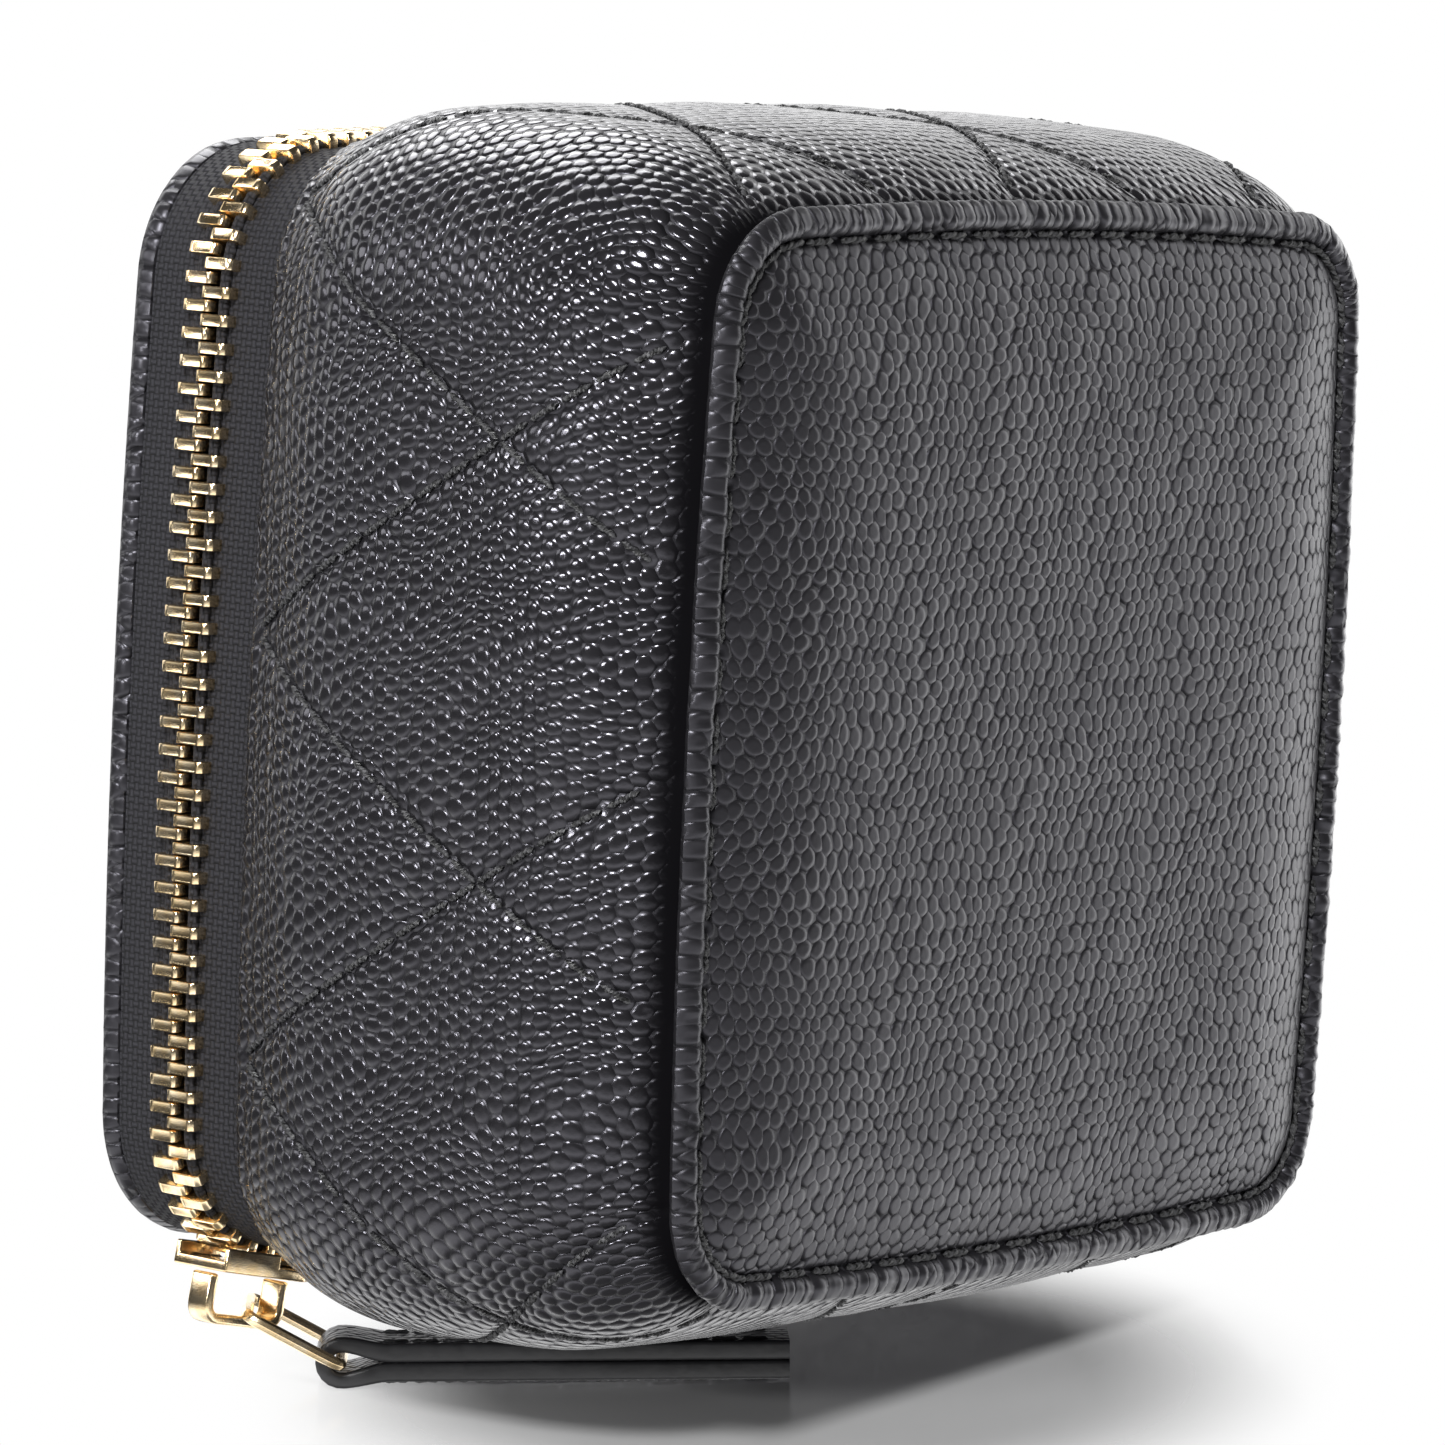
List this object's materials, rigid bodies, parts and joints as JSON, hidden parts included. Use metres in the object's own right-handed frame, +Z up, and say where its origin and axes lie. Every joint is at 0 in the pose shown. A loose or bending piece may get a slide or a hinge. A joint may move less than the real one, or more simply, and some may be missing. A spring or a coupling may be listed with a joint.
{
  "type": "jewellery case",
  "caption": "Square quilted leather jewellery case closed by a metal zip, with a hinged lid, padded ring rolls, a divider and a folded leather zip pull.",
  "frame": {"origin": "centre of the flat base, on the surface the case stands on", "axes": "+Z up from the base to the lid, -Y to the front, +Y to the lid's hinge, +X to the right seen from the front"},
  "size_m": [0.1118, 0.1186, 0.0686],
  "materials": {
    "leather": "black grained leather, satin gloss",
    "tape": "black woven tape",
    "lining": "black soft lining",
    "board": "plain grey board",
    "gold": "polished pale gold"
  },
  "bodies": {
    "case": {"base_panel": "leather", "quilted_wall": "leather", "base_board": "board", "wall_board": "board", "wall_lining": "lining", "floor_pad": "lining", "ring_roll_1": "lining", "ring_roll_2": "lining", "ring_roll_3": "lining", "ring_roll_4": "lining", "divider": "lining", "zip_tape_body": "tape", "zip_teeth_body": "gold", "zip_teeth_body_end": "gold", "zip_bottom_stop": "gold", "zip_top_stop_body": "gold", "hinge_leaf_body": "leather"},
    "lid": {"lid_panel": "leather", "lid_board": "board", "lid_lining": "lining", "zip_tape_lid": "tape", "zip_tape_lid_end_left": "tape", "zip_tape_lid_end_right": "tape", "zip_teeth_lid": "gold", "zip_teeth_lid_end_left": "gold", "zip_teeth_lid_end_right": "gold", "zip_top_stop_lid": "gold", "hinge_leaf_lid": "leather"},
    "slider": {"zip_slider": "gold", "slider_crown": "gold"},
    "link": {"pull_link": "gold"},
    "tab": {"pull_tab": "leather"}
  },
  "joints": [
    {"name": "lid_hinge", "type": "hinge", "parent": "case", "child": "lid", "pos_m": [0, 0.05425, 0.0574], "axis": [-1, 0, 0], "range_deg": [0, 95], "deforming": ["zip_tape_lid_end_left", "zip_tape_lid_end_right", "zip_teeth_lid_end_left", "zip_teeth_lid_end_right", "zip_top_stop_lid"]},
    {"name": "zip_slider_turn", "type": "hinge", "parent": "case", "child": "slider", "pos_m": [-0.0376, 0.0376, 0.0574], "axis": [0, 0, 1], "range_deg": [0, 72], "deforming": ["zip_teeth_body_end", "zip_teeth_lid_end_left"]},
    {"name": "pull_link_swing", "type": "hinge", "parent": "slider", "child": "link", "pos_m": [-0.04007, 0.05596, 0.0574], "axis": [0.7547, 0, 0.6561], "range_deg": [0, 35]},
    {"name": "pull_tab_swing", "type": "hinge", "parent": "link", "child": "tab", "pos_m": [-0.03429, 0.06026, 0.05075], "axis": [0.7547, 0, 0.6561], "range_deg": [0, 70]}
  ]
}
